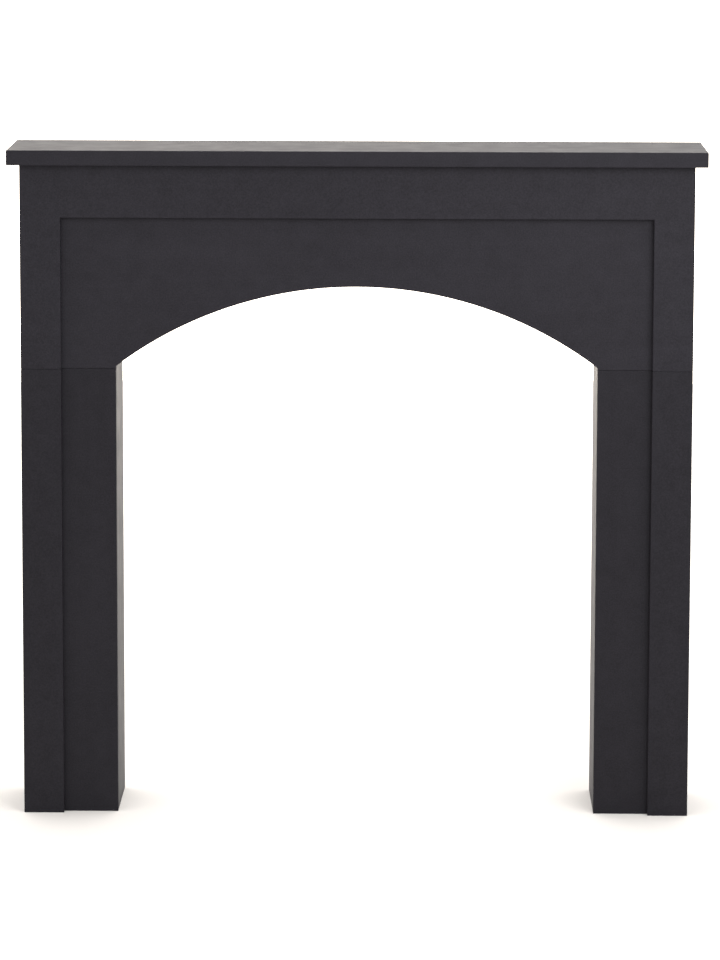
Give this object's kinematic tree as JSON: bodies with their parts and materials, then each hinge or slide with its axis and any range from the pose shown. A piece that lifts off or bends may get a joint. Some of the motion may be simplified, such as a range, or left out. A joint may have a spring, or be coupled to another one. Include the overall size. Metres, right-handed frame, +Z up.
{
  "type": "fireplace mantelpiece",
  "caption": "Plain painted board fireplace mantelpiece with a low segmental arch, a raised outer frame and a square-edged shelf.",
  "frame": {"origin": "on the floor, at the middle of the overall width and of the overall depth", "axes": "+Z up, +X to the right of someone facing the mantelpiece, +Y backwards to the wall, so the front faces -Y"},
  "size_m": [1.155, 0.2, 1.12],
  "materials": {
    "dark_paint": "satin"
  },
  "bodies": {
    "root": {"mantel_shelf": "dark_paint", "header_arch_panel": "dark_paint", "header_frame": "dark_paint", "header_side_left": "dark_paint", "header_side_right": "dark_paint", "leg_panel_left": "dark_paint", "leg_panel_right": "dark_paint", "leg_stile_left": "dark_paint", "leg_stile_right": "dark_paint", "leg_inner_side_left": "dark_paint", "leg_inner_side_right": "dark_paint", "leg_outer_side_left": "dark_paint", "leg_outer_side_right": "dark_paint"}
  },
  "joints": []
}
